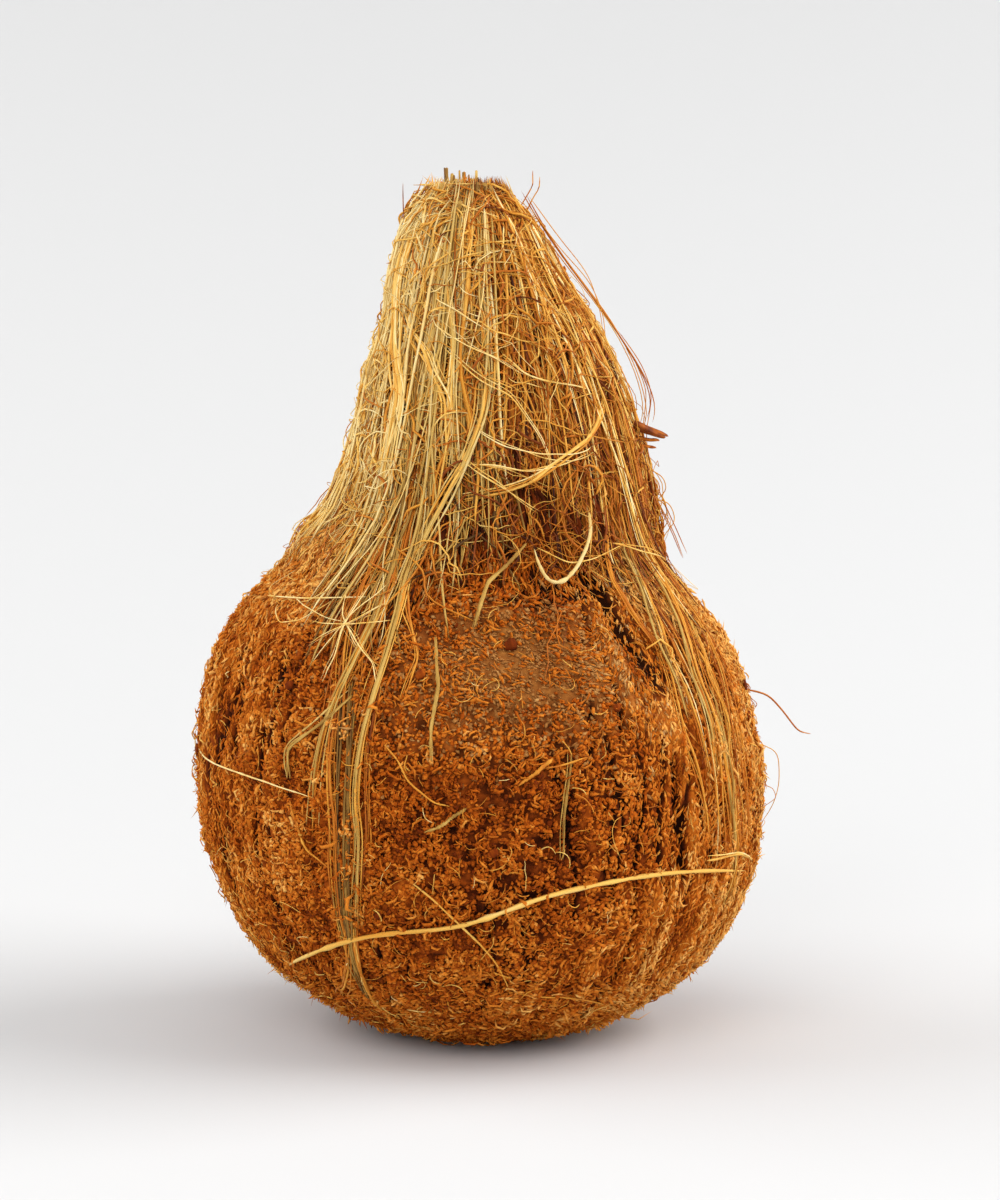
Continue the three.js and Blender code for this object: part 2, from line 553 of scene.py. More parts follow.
def spots_on(mesh, count, draw):
    """Random spots on a mesh, evenly spread: where they are, and which way the surface faces."""
    mesh.calc_loop_triangles()
    corners = np.empty(len(mesh.loop_triangles) * 3, np.int32)
    mesh.loop_triangles.foreach_get("vertices", corners)
    place = np.empty(len(mesh.vertices) * 3, np.float32)
    mesh.vertices.foreach_get("co", place)
    a, b, c = (place.reshape(-1, 3) / MM)[corners.reshape(-1, 3)].transpose(1, 0, 2)
    facing = np.cross(b - a, c - a)
    area = np.linalg.norm(facing, axis=1)
    which = draw.choice(len(area), count, p=area / area.sum())
    u, v = draw.random((2, count, 1))
    u, v = np.where(u + v > 1, 1 - u, u), np.where(u + v > 1, 1 - v, v)
    spot = a[which] + u * (b - a)[which] + v * (c - a)[which]
    return spot, facing[which] / area[which][:, None]


def pith_places(draw, count, clump_low, in_tuft, off_bare, on_sides):
    """Where crumbs of pith lie: their spots, the way each faces and points, and what is there.

    They lie where the clumps are above clump_low. In_tuft and on_sides are the shares of them that
    lie there, and off_bare is the share that the bare patch has lost.
    """
    spot, facing = spots_on(ground, 2 * count, draw)
    azimuth, z = azimuth_of(spot), spot[:, 2]
    clump = field(spot, 3.2, 5) + 0.6 * field(spot, 1.6, 6)
    tuft, bare = on_tuft(azimuth, z), on_bare_patch(azimuth, z)
    clump *= 1 - 0.5 * on_flank(azimuth, z)
    wanted = smooth(clump_low, clump_low + 0.7, clump - 0.3 * in_middle(azimuth, z))
    wanted *= 1 - tuft + tuft * (in_tuft + 0.8 * pithy(azimuth, z))
    wanted *= 1 - (1 - on_sides) * on_flank(azimuth, z)
    wanted *= (1 - off_bare * bare) * (1 - 0.8 * in_crevice(azimuth, z))
    wanted *= 1 - 0.85 * in_groove(azimuth, z, 1.4)
    keep = np.flatnonzero(draw.random(len(spot)) < wanted)[:count]
    spot, facing, azimuth, z, clump, tuft, bare = (
        a[keep] for a in (spot, facing, azimuth, z, clump, tuft, bare)
    )
    level = np.stack([np.cos(np.radians(azimuth)), np.sin(np.radians(azimuth)), 0 * z], axis=1)
    level -= facing * np.sum(level * facing, axis=1, keepdims=True)
    level /= np.linalg.norm(level, axis=1, keepdims=True) + 1e-9
    steep = np.cross(facing, level)
    # They lie any way on the middle of the nut, level near its foot, slanting on the bare patch,
    # and upright on the flanks and in the tuft.
    upright = np.clip(on_flank(azimuth, z) * smooth(8, 24, z) + tuft, 0, 1)
    ordered = np.clip(upright + 1 - smooth(12, 30, z) + 0.9 * bare, 0, 1)
    heading = np.pi / 2 * np.round(upright) - 0.5 * (bare > 0.4)
    heading = heading + 1.6 * (1 - 0.78 * ordered) * draw.normal(size=len(z))
    run = np.cos(heading)[:, None] * level + np.sin(heading)[:, None] * steep
    return spot, facing, run, azimuth, z, clump, tuft, bare


def pith_tones(draw, spot, azimuth, z, clump):
    """Crumbs in one clump share a tone, and so do crumbs in one stain of the husk."""
    tone = 0.5 + 0.1 * draw.normal(size=len(z)) + 0.16 * clump + 0.22 * field(spot, 9, 7)
    flank = on_flank(azimuth, z)
    tone += 0.34 * flank * streaks(azimuth, z, NUT_RADIUS, 2.4, 9, 2)
    tone += 0.3 * flank * streaks(azimuth, z, NUT_RADIUS, 1.1, 12, 8)
    # Painted shade darkens the front's middle; painted light makes the right flank paler.
    tone += 0.02 - 0.1 * in_middle(azimuth, z) + 0.34 * bump(between(azimuth, 82), 34)
    tone += 0.05 * flank
    tone += 0.24 * smooth(80, 97, z) * flank + 0.12 * smooth(104, 118, z)
    tone -= 0.2 * bump(between(azimuth, 14), 34) * bump(z - 103, 9)
    tone -= 0.5 * on_bare_patch(azimuth, z) * (tone - 0.45)
    return np.clip(tone, *TONES)


GRAINS, GRAINS_A_PIECE = 106000, 24000
SHAVINGS, SHAVINGS_A_PIECE = 24000, 15800


def in_pieces(name, size, count):
    """Names and slices for the pieces that this many strands are shared out to."""
    for i in range(0, count, size):
        yield f"{name}_{i // size + 1}", slice(i, i + size)


def pack_grains():
    """The body of the felt: blunt crumbs about 1 mm across, packed over the ground."""
    draw = seeded(11)
    spot, facing, run, azimuth, z, clump, tuft, bare = pith_places(
        draw, GRAINS, clump_low=-0.95, in_tuft=0.3, off_bare=0.0, on_sides=0.85
    )
    count = len(z)
    flank = on_flank(azimuth, z)
    length = np.exp(draw.normal(0.12, 0.34, count)) * (1 + 1.6 * tuft + 0.9 * flank)
    rise = 0.05 + 0.3 * clump + 0.35 * draw.random(count) - 0.1 * bare
    rise = rise + 0.7 * tuft * draw.random(count) - 0.14 * flank
    tilt = draw.normal(0, 0.35, count) * (1 - 0.7 * tuft)
    t = np.repeat([[-0.5, 0, 0.5]], count, axis=0)
    t[:, 1] = draw.uniform(-0.32, 0.32, count)
    t = t[..., None]
    arch = np.array([0, 0.12, 0])[None, :, None]
    high = rise[:, None, None] + arch + t * (tilt * length)[:, None, None]
    paths = spot[:, None] + run[:, None] * t * length[:, None, None] + facing[:, None] * high
    width = np.clip(draw.normal(0.45, 0.13, count), 0.2, 0.85)
    width = width * (1 - 0.45 * bare) * (1 - 0.3 * tuft) * (1 - 0.4 * flank)
    radii = np.repeat(width[:, None], 3, axis=1)
    tones = pith_tones(draw, spot, azimuth, z, clump)
    worn = draw.random(count) < 0.9 * bare
    strands("worn_grains", paths[worn], radii[worn], tones[worn], WORN_PITH, 4, 0.7, 0.28)
    paths, radii, tones = paths[~worn], radii[~worn], tones[~worn]
    for name, part in in_pieces("pith_grains", GRAINS_A_PIECE, len(tones)):
        strands(name, paths[part], radii[part], tones[part], PITH, 4, 0.75, 0.28)


def scatter_shavings():
    """Curly shavings of pith, 1 to 4 mm long, standing out of the felt."""
    draw = seeded(12)
    spot, facing, run, azimuth, z, clump, tuft, bare = pith_places(
        draw, SHAVINGS, clump_low=-0.5, in_tuft=0.2, off_bare=0.25, on_sides=0.15
    )
    count = len(z)
    flank = on_flank(azimuth, z)
    side = np.cross(facing, run)
    length = np.clip(np.exp(draw.normal(0.55, 0.4, count)) * (1 + 0.8 * tuft), 0.7, 6)
    curl = draw.normal(0, 0.3, count) * length * (1 - 0.6 * bare)
    tilt = draw.normal(0, 0.35, count) * (1 - 0.5 * tuft)
    arch = np.abs(draw.normal(0.15, 0.2, count)) * length * (1 - 0.6 * tuft) * (1 - 0.6 * flank)
    lift = 0.35 + 0.3 * clump + 0.4 * draw.random(count) - 0.2 * bare - 0.15 * flank
    t = np.array([-0.5, -0.2, 0.2, 0.5])[None, :, None]
    bow = 1 - 4 * t * t
    rise = lift[:, None, None] + bow * arch[:, None, None] + t * (tilt * length)[:, None, None]
    paths = (
        spot[:, None]
        + run[:, None] * t * length[:, None, None]
        + side[:, None] * bow * curl[:, None, None]
        + facing[:, None] * rise
    )
    width = np.clip(draw.normal(0.24, 0.09, count), 0.1, 0.5)
    radii = np.repeat(width[:, None], 4, axis=1)
    tones = np.clip(pith_tones(draw, spot, azimuth, z, clump) + 0.1, *TONES)
    for name, part in in_pieces("pith_shavings", SHAVINGS_A_PIECE, count):
        strands(name, paths[part], radii[part], tones[part], PITH, 3, 0.7)


pack_grains()
scatter_shavings()


# ---------------- long fibres


def fibre_radii(draw, count, points, thin, thick):
    """Fibres of mixed thickness, each drawn out to its ends."""
    t = np.linspace(0, 1, points)
    outline = np.interp(t, [0, 0.08, 0.5, 0.9, 1], [0.5, 0.95, 1, 0.75, 0.4])
    size = thin + (thick - thin) * draw.random(count) ** 2.5
    return size[:, None] * outline


LOCK = 4.5  # degrees of the tuft that one lock of fibres fills


def comb_tuft(
    name, seed, count, lift, thickness, tone, scatter, lean, material=COIR, middle=0, spread=180
):
    """One layer of the tuft: fibres combed down from its tip towards its hem.

    Lift and thickness are ranges, scatter is how much the fibres' tones differ, and lean is how
    far they slant, in degrees.
    """
    draw = seeded(seed)
    points = 17
    azimuth = middle + draw.uniform(-spread, spread, count)
    centre = np.round(azimuth / LOCK) * LOCK
    azimuth = centre + (azimuth - centre) * 0.55
    top = 178 - np.abs(draw.normal(0, 5, count))
    short = draw.random(count) < 0.45
    top[short] = draw.uniform(108, 172, short.sum())
    # On the front and the right the fibres break off at all heights. Elsewhere they reach the nut,
    # and on the left they end almost evenly.
    ragged = bump(between(azimuth, 14), 36) + 0.6 * bump(between(azimuth, 66), 30)
    ragged = np.clip(ragged, 0, 1)
    uneven = 5 - 3.4 * bump(between(azimuth, -88), 34)
    end = hem(azimuth) + (1 - ragged) * (uneven * draw.normal(0, 1, count) + uneven - 6)
    end += ragged * np.abs(draw.normal(8, 18, count))
    end = np.where(draw.random(count) < 0.2, draw.uniform(hem(azimuth), 160), end)
    bottom = np.minimum(end, top - 10)
    t = np.linspace(0, 1, points)
    z = top[:, None] + (bottom - top)[:, None] * t
    phase, beat = draw.uniform(0, 6.3, (count, 1)), draw.uniform(0.5, 2, (count, 1))
    sway = 1.6 * draw.normal(0, 1, (count, 1)) * np.sin(phase + 6.3 * beat * t)
    turn = draw.normal(0, lean, (count, 1)) * (t - 0.5)
    turn = turn + 1.8 * np.sin(1.9 * centre[:, None] + z / 19)  # each lock winds its own way
    lock = streaks(centre, 0 * centre, TUFT_RADIUS, 1.9, 12, seed)
    rise = draw.uniform(*lift, (count, 1)) + 1.1 * lock[:, None] + 0.35 * np.sin(phase * 2 + 10 * t)
    paths = placed(azimuth[:, None] + sway + turn, z, rise)
    # The lower front is browner.
    halfway = z.mean(axis=1)
    stain = 0.26 * (1 - smooth(108, 142, halfway))
    stain += 0.32 * bump(between(azimuth, 14), 38) * (1 - smooth(116, 144, halfway))
    tones = tone + fair(azimuth) - stain + scatter * draw.normal(size=count) + 0.4 * lock
    tones = np.clip(tones, *TONES)
    strands(name, paths, fibre_radii(draw, count, points, *thickness), tones, material)


comb_tuft("tuft_under", 21, 1250, (-0.8, 0.3), (0.15, 0.42), tone=0.3, scatter=0.15, lean=7)
comb_tuft("tuft_middle", 22, 800, (-0.2, 1.0), (0.1, 0.34), tone=0.54, scatter=0.18, lean=14)
comb_tuft("tuft_top", 23, 170, (0.5, 1.6), (0.2, 0.46), tone=0.68, scatter=0.15, lean=18)
comb_tuft(
    "tuft_weathered", 24, 120, (0.2, 1.5), (0.2, 0.5), tone=0.66, scatter=0.16, lean=10,
    material=OLD_COIR, middle=-16, spread=30,
)
comb_tuft(
    "tuft_weathered_back", 25, 110, (0.2, 1.5), (0.2, 0.5), tone=0.58, scatter=0.16, lean=10,
    material=OLD_COIR, middle=190, spread=45,
)


def rounded(line):
    """Rounds the corners of a route off, in place."""
    for _ in range(4):
        line[1:-1] = (line[:-2] + 2 * line[1:-1] + line[2:]) / 4


def bundle_paths(draw, count, spread, radius, tone, lift, route):
    """Fibres lying along one route: a stout one in the middle, and finer ones beside it."""
    points = 40
    t = np.linspace(0, len(route) - 1, points)
    azimuth, z = (np.interp(t, np.arange(len(route)), column) for column in zip(*route))
    rounded(azimuth)
    rounded(z)
    t = np.linspace(0, 1, points)
    first, last = draw.normal(0, spread, (2, count, 1))
    first[0] = last[0] = 0
    sway = 0.25 * spread * draw.normal(size=(count, 1))
    aside = first + (last - first) * t + sway * np.sin(draw.uniform(0, 6, (count, 1)) + 9 * t)
    # Offsets are square to the route, seen from outside.
    run = np.gradient(np.radians(azimuth) * reach(azimuth, z)), np.gradient(z)
    size = np.hypot(*run) + 1e-6
    azimuths = azimuth + np.degrees(aside * run[1] / size / reach(azimuth, z))
    heights = np.clip(z - aside * run[0] / size, LOWEST, HIGHEST)
    high = lift * (0.35 + 0.65 * np.sin(np.pi * np.clip(t * 1.06, 0.02, 0.98)) ** 0.6)
    high = high + draw.uniform(0, 0.35, (count, 1))
    high = high + 0.18 * np.sin(draw.uniform(0, 6, (count, 1)) + 14 * t)
    size = radius * np.concatenate([[1], draw.uniform(0.3, 0.8, count - 1)])
    outline = np.interp(t, [0, 0.1, 0.5, 0.9, 1], [0.4, 0.9, 1, 0.7, 0.25])
    outline = outline * (1 + 0.16 * draw.normal(size=(count, points)))
    tones = np.clip(tone + 0.13 * draw.normal(size=count), *TONES)
    tones[0] = tone
    return placed(azimuths, heights, high), size[:, None] * outline, tones


def lay(name, seed, bundles, material=COIR):
    """One piece of bundles: (fibres, spread, radius, tone, lift, [(azimuth, height), ...]) each."""
    draw = seeded(seed)
    made = [bundle_paths(draw, *bundle) for bundle in bundles]
    paths, radii, tones = (np.concatenate(column) for column in zip(*made))
    strands(name, paths, radii, tones, material, sides=5)


# two routes that both weathered and golden strands take
INTO_LEFT_SEAM = [(4, 137), (2, 130), (-5, 121), (-10, 116), (-16, 109), (-20, 102)]
DOWN_MIDDLE = [(-31, 166), (-20, 155), (-14, 144), (-13, 134), (-12, 122)]

lay("left_ridge", 31, [
    (4, 0.8, 0.28, 0.56, 0.8, [
        (-31, 121), (-26, 111), (-25, 103), (-24, 93), (-26, 84), (-29, 75), (-31, 62), (-32, 49),
    ]),
    (5, 0.7, 0.3, 0.56, 0.9, [
        (-17, 111), (-21, 102), (-19, 94), (-20, 82), (-22, 70), (-23, 57), (-22, 49), (-25, 30),
    ]),
    (6, 1, 0.26, 0.42, 0.7, [(-28, 78), (-28, 66), (-27, 52), (-28, 37), (-29, 25)]),
    (8, 2, 0.3, 0.5, 0.8, [(-24, 117), (-24, 105), (-23, 95), (-25, 86), (-28, 75)]),
    (7, 2, 0.28, 0.46, 0.8, [(-36, 117), (-34, 105), (-31, 96), (-29, 88), (-27, 78), (-26, 68)]),
    (4, 0.8, 0.28, 0.56, 0.8, [(-27, 33), (-30, 23), (-36, 16), (-41, 13)]),
    (4, 0.8, 0.28, 0.52, 0.8, [(-26, 31), (-28, 21), (-29, 14), (-29, 8)]),
    (3, 0.8, 0.24, 0.5, 0.9, [(-20, 98), (-16, 91), (-13, 84), (-15, 76)]),
    (6, 0.9, 0.28, 0.2, 0.4, [(-27, 98), (-27, 88), (-28, 76), (-29, 60)]),
    (5, 0.9, 0.28, 0.22, 0.4, [(-20, 80), (-21, 66), (-21, 50), (-23, 38)]),
])
lay("weathered_strands", 32, [
    # along the left seam
    (4, 0.7, 0.3, 0.56, 1.1, [
        (-31, 120), (-26, 110), (-25, 102), (-24, 92), (-26, 84), (-29, 74), (-31, 61), (-32, 51),
    ]),
    (5, 0.7, 0.34, 0.58, 1.3, [
        (-17, 110), (-21, 101), (-19, 93), (-20, 81), (-22, 69), (-23, 56), (-22, 48), (-25, 32),
    ]),
    (9, 1.1, 0.3, 0.26, 0.6, [(-26, 80), (-25, 66), (-25, 50), (-26, 37), (-29, 25)]),
    (7, 1.2, 0.3, 0.4, 0.7, [(-26, 42), (-27, 30), (-29, 21), (-31, 13)]),
    (3, 0.6, 0.3, 0.5, 1.2, [(-25, 77), (-31, 71), (-37, 66), (-37, 60)]),
    # on the middle of the nut
    (1, 0.3, 0.35, 0.5, 1, [(-2, 56), (-6, 53), (-10, 51)]),
    (3, 0.5, 0.28, 0.4, 0.5, [(19, 66), (18, 59), (17, 53), (17, 45)]),
    (2, 0.3, 0.42, 0.56, 0.9, [(-10, 88), (-8, 79), (-9, 71), (-9, 64)]),
    # the J-shaped strand and the stub that hang out of the hem
    (1, 0.1, 0.44, 0.88, 3.2, [
        (39, 111), (37, 107), (33, 103), (29, 100), (25, 98), (22, 97.4), (20, 98), (19, 100),
        (18, 104),
    ]),
    (2, 0.3, 0.38, 0.5, 2.2, [(16, 105), (9, 101), (3, 98), (1, 94), (-1, 89)]),
    # the stout ones that stand out of the tuft
    (7, 0.8, 0.36, 0.72, 2, INTO_LEFT_SEAM),
    (4, 0.7, 0.34, 0.74, 1.8, DOWN_MIDDLE),
], OLD_COIR)
lay("right_ridge", 33, [
    (6, 1, 0.28, 0.58, 1, [
        (63, 112), (63, 102), (59, 93), (55, 86), (53, 79), (54, 71), (54, 63), (56, 55), (58, 46),
        (63, 32),
    ]),
    (5, 0.9, 0.24, 0.6, 1, [
        (56, 110), (54, 101), (50, 93), (48, 87), (48, 79), (49, 71), (51, 58),
    ]),
    (3, 0.5, 0.34, 0.46, 1.4, [(48, 109), (44, 102), (41, 97), (42, 92), (44, 88), (46, 84)]),
    (3, 0.7, 0.24, 0.6, 1.1, [(47, 86), (45, 76), (45, 68), (47, 61), (49, 53), (50, 47)]),
    (4, 1, 0.24, 0.5, 0.9, [(51, 92), (51, 81), (52, 71), (52, 61), (53, 51), (55, 39)]),
    (5, 1.8, 0.24, 0.46, 0.8, [(69, 108), (67, 96), (63, 84), (61, 72), (61, 58), (64, 44)]),
    (3, 0.8, 0.22, 0.56, 1, [(59, 86), (56, 78), (58, 68), (56, 60)]),
    (8, 2.4, 0.2, 0.5, 0.8, [(60, 98), (57, 86), (57, 74), (58, 60)]),
    (6, 2.4, 0.2, 0.5, 0.8, [(56, 66), (57, 54), (59, 42), (62, 28)]),
    (5, 1.6, 0.24, 0.18, 0.4, [(50, 98), (52, 84), (55, 70), (56, 54)]),
])
lay("right_ridge_weathered", 39, [
    (3, 0.8, 0.28, 0.64, 1.3, [
        (61, 110), (60, 101), (56, 92), (53, 85), (51, 78), (52, 70), (53, 60),
    ]),
    (2, 0.5, 0.26, 0.62, 1.3, [(54, 108), (51, 99), (47, 92), (46, 86), (46, 78), (47, 70)]),
    (3, 0.8, 0.26, 0.6, 1.1, [(54, 76), (55, 64), (56, 52), (60, 38)]),
], OLD_COIR)
lay("back_ridge", 34, [
    (9, 0.9, 0.36, 0.6, 1.3, [
        (182, 122), (184, 110), (186, 98), (185, 84), (183, 70), (183, 54), (182, 38),
    ]),
    (9, 0.8, 0.36, 0.6, 1.3, [
        (194, 118), (191, 106), (189, 94), (189, 80), (190, 64), (189, 48), (190, 30),
    ]),
    (12, 1.6, 0.32, 0.5, 1, [(186, 92), (186, 76), (187, 58), (186, 42), (186, 24)]),
    (8, 2, 0.32, 0.52, 1, [(178, 114), (180, 100), (182, 86), (184, 72)]),
    (8, 2, 0.32, 0.52, 1, [(200, 112), (197, 98), (193, 84), (190, 70)]),
    (4, 0.9, 0.3, 0.55, 0.8, [(184, 32), (182, 20), (178, 10)]),
    (4, 0.9, 0.3, 0.55, 0.8, [(189, 30), (192, 18), (196, 10)]),
])
lay("loose_strands", 35, [
    # the long straw lying round the front of the foot, with its side branches
    (1, 0.3, 0.54, 0.76, 1, [
        (-56, 18), (-41, 23), (-31, 27), (-21, 30), (-12, 31), (-3, 32), (5, 35), (13, 38),
        (25, 40), (38, 41), (52, 40), (68, 37),
    ]),
    (2, 0.6, 0.28, 0.7, 1.2, [(50, 42), (60, 42), (70, 39)]),
    (1, 0.3, 0.22, 0.66, 0.9, [(-14, 42), (-8, 37), (-3, 32), (1, 28), (4, 24), (8, 17)]),
    (1, 0.3, 0.16, 0.6, 0.8, [(7, 17), (23, 15), (45, 10)]),
    # threads and stalks on the left and the middle of the nut
    (1, 0.3, 0.2, 0.9, 1.5, [(-76, 61), (-57, 60), (-42, 59), (-32, 57)]),
    (1, 0.3, 0.26, 0.5, 1, [(-37, 56), (-35, 50), (-33, 46), (-29, 43)]),
    (1, 0.3, 0.2, 0.6, 1.2, [(-18, 68), (-15, 65), (-13, 61), (-8, 57), (-5, 56)]),
    (1, 0.3, 0.4, 0.48, 1.4, [(15, 65), (12, 63), (8, 60)]),
    (1, 0.3, 0.2, 0.5, 1.2, [(13, 63), (18, 64), (23, 65)]),
    (1, 0.3, 0.22, 0.68, 2, [(42, 84), (46, 86), (48, 84), (47, 81)]),
    # the net of fibres across the middle of the tuft
    (4, 0.7, 0.34, 0.7, 2.2, [
        (60, 134), (52, 128), (43, 125), (31, 121), (20, 117), (10, 115), (-7, 113),
    ]),
    (2, 1, 0.16, 0.88, 2.4, [(-8, 120), (6, 120), (18, 119), (32, 120), (44, 122)]),
    (2, 1.2, 0.14, 0.9, 2.6, [(-4, 128), (10, 124), (24, 122), (36, 122), (50, 124)]),
    (2, 1, 0.14, 0.85, 2.4, [(-9, 122), (2, 118), (11, 115), (22, 111)]),
    (2, 0.8, 0.15, 0.88, 2.4, [(-27, 148), (-7, 144), (8, 141), (22, 138)]),
    (2, 0.8, 0.14, 0.9, 2.2, [(-28, 153), (-10, 150), (8, 146)]),
    (2, 0.8, 0.14, 0.82, 2.4, [(-22, 144), (1, 137), (14, 134), (25, 125), (31, 115)]),
    (2, 0.6, 0.2, 0.84, 2.2, [(12, 142), (22, 138), (36, 136), (58, 134)]),
    (1, 0.3, 0.15, 0.85, 1.6, [(-50, 174), (-8, 171), (30, 169)]),
    (1, 0.3, 0.14, 0.8, 1.6, [(2, 164), (53, 165)]),
    (2, 0.7, 0.15, 0.8, 2.4, [(19, 104), (28, 101), (40, 102), (54, 104)]),
    (2, 0.7, 0.16, 0.8, 2.4, [(46, 104), (60, 102), (74, 98)]),
    # stout strands that stand out of the tuft
    (3, 0.9, 0.3, 0.74, 2, INTO_LEFT_SEAM),
    (3, 0.7, 0.3, 0.72, 1.8, DOWN_MIDDLE),
    (5, 0.9, 0.34, 0.74, 1.6, [(-54, 150), (-28, 142), (-15, 133), (-13, 119)]),
    (10, 1.2, 0.36, 0.82, 1.5, [
        (-72, 168), (-62, 154), (-53, 143), (-41, 134), (-41, 122), (-38, 108),
    ]),
    # the knot of fine fibres on the left shoulder
    (1, 0.3, 0.17, 0.92, 2, [(-66, 93), (-45, 94), (-28, 95)]),
    (1, 0.3, 0.12, 0.9, 1.8, [(-54, 94), (-41, 92), (-30, 90)]),
    (1, 0.3, 0.12, 0.86, 2, [(-57, 92), (-50, 89), (-43, 90), (-37, 94)]),
    (2, 0.5, 0.14, 0.9, 2, [(-33, 92), (-27, 88), (-22, 83), (-20, 78)]),
    (2, 0.5, 0.14, 0.9, 2, [(-29, 98), (-30, 90), (-30, 84), (-32, 79)]),
    (2, 0.5, 0.12, 0.9, 2, [(-35, 97), (-31, 91), (-25, 85)]),
    (2, 0.5, 0.12, 0.86, 2, [(-23, 94), (-30, 90), (-38, 86)]),
    (1, 0.5, 0.12, 0.86, 2.2, [(-20, 91), (-29, 90), (-40, 90)]),
    (1, 0.5, 0.12, 0.9, 2.2, [(-24, 98), (-29, 92), (-36, 82)]),
])
lay("painted_shade_hollows", 40, [
    # nearly black pith laid between the locks, as painted shade in the hollows
    (3, 0.5, 0.7, 0.02, 0.7, [(-8, 165), (-7, 161), (-8, 158)]),
    (6, 1, 0.6, 0.05, 0.6, [(-15, 118), (-13, 110), (-11, 103)]),
    (5, 0.9, 0.5, 0.08, 0.8, [(22, 116), (24, 110), (26, 104)]),
    (5, 0.9, 0.5, 0.08, 0.8, [(44, 116), (45, 108), (46, 102)]),
    (4, 0.7, 0.5, 0.06, 0.6, [(-28, 112), (-26, 104), (-25, 99)]),
    (5, 0.9, 0.5, 0.06, 0.8, [(4, 114), (3, 107), (3, 101)]),
    (4, 0.8, 0.5, 0.08, 0.8, [(34, 112), (35, 106), (36, 100)]),
    (4, 0.7, 0.4, 0.08, 0.8, [(14, 126), (16, 116), (17, 108)]),
], PITH)


def stick_chips():
    """Flat chips of brown husk skin caught in the felt: the azimuth, height and size of each."""
    draw = seeded(38)
    chips = [(8, 86, 1.8), (-12, 81, 1.2), (30, 74, 1), (-40, 78, 1.1), (3, 47, 1.2), (-20, 34, 1)]
    elsewhere = zip(draw.uniform(60, 300, 16), draw.uniform(20, 98, 16))
    chips += [(azimuth, z, draw.uniform(0.8, 1.6)) for azimuth, z in elsewhere]
    t = np.array([-1, -0.7, 0, 0.7, 1])[:, None]
    paths, radii = [], []
    for azimuth, z, size in chips:
        heading = draw.uniform(0, 3.1)
        along = np.array([math.cos(heading), math.sin(heading)])
        places = np.array([azimuth, z]) + t * size * along
        paths.append(placed(places[:, 0], places[:, 1], 1.0))
        radii.append(size * np.array([0, 0.6, 0.85, 0.6, 0]))
    tones = np.clip(draw.normal(0.27, 0.05, len(chips)), 0.1, 0.4)
    strands("skin_chips", np.array(paths), np.array(radii), tones, PITH, 5, flat=0.2, rough=0.15)


stick_chips()


def stand_free(name, seed, wires):
    """Fibres that stand clear of the coconut: (fibres, radius, tone, [(x, y, z), ...]) each."""
    draw = seeded(seed)
    points = 24
    t = np.linspace(0, 1, points)
    outline = np.interp(t, [0, 0.1, 0.8, 1], [0.6, 1, 0.8, 0.3])
    paths, radii, tones = [], [], []
    for count, radius, tone, route in wires:
        along = np.linspace(0, len(route) - 1, points)
        line = np.stack([np.interp(along, np.arange(len(route)), c) for c in zip(*route)], axis=1)
        rounded(line)
        for i in range(count):
            away = draw.normal(0, 0.8, 3) * (i > 0)
            wave = np.sin(np.linspace(0, 5, points) + draw.uniform(0, 6))[:, None]
            paths.append(line + away + 0.3 * wave * draw.normal(size=3))
            radii.append(radius * outline)
            tones.append(np.clip(tone + 0.08 * draw.normal(), *TONES))
    strands(name, np.array(paths), np.array(radii), np.array(tones), COIR)


stand_free("free_fibres", 36, [
    # arcs that stand off the right of the tuft
    (2, 0.17, 0.42, [
        (8, 0, 174), (12, -2, 167), (17, -3, 160), (24, -3, 151), (30, -3, 142), (34, -3, 135),
        (35, -3, 130), (34, -3, 127),
    ]),
    (2, 0.14, 0.6, [
        (8, 1, 173), (13, 1, 165), (20, 0, 156), (27, -1, 147), (32, -2, 137), (34, -2, 128),
        (31, -2, 124),
    ]),
    (2, 0.17, 0.68, [
        (6, -5, 172), (13, -6, 161), (20, -6, 151), (25, -6, 143), (29, -6, 134), (30, -6, 124),
    ]),
    (2, 0.12, 0.6, [(9, -3, 172), (15, -4, 163), (21, -4, 156), (24, -5, 149), (25, -6, 142)]),
    (2, 0.12, 0.5, [(27, -2, 146), (32, -2, 139), (34.5, -2, 133), (33, -3, 125), (34, -4, 119)]),
    # strays beside the nut
    (1, 0.24, 0.3, [(53, 0, 71), (59, 0, 70), (62, 0, 67), (65, 0, 63), (68, 0, 62)]),
    (1, 0.12, 0.75, [(57, 2, 60), (61.5, 2, 58), (61.5, 2, 51), (60, 2, 46), (56, 2, 40)]),
    (1, 0.1, 0.7, [(57, 0, 52), (60, 0, 51), (61, 0, 48), (57, 0, 45)]),
    # the woody chip and the fuzz below the arcs
    (3, 0.75, 0.3, [(29, -3, 127), (33, -3, 125.5), (36.5, -3, 124)]),
    (2, 0.5, 0.42, [(28, -4, 124), (33, -4, 122.5), (35, -4, 122)]),
    (3, 0.13, 0.6, [(31, -3, 118), (35, -3, 116), (36, -3, 113), (34, -3, 110), (33, -3, 108)]),
    (3, 0.13, 0.55, [(32, -2, 112), (37, -2, 111), (38, -2, 107), (36, -2, 104), (36, -2, 100)]),
    (3, 0.14, 0.5, [(33, -2, 116), (36, -2, 110), (39, -2, 104), (41, -2, 99)]),
    # upright hairs beside the tip
    (1, 0.16, 0.35, [(-16.5, 0, 164), (-17, 0, 170), (-17, 0, 177)]),
    (4, 0.14, 0.7, [(-14, 0, 160), (-14, 0, 168), (-13, 0, 174)]),
    (3, 0.14, 0.75, [(-18, 1, 154), (-17, 1, 160), (-16, 1, 168)]),
    (2, 0.16, 0.6, [(8, 0, 170), (11, 0, 175), (11, 0, 178)]),
])


TIP = (-4.6, 1.2)  # where the middle of the cut is, seen from above
TIP_RADIUS = 10.5


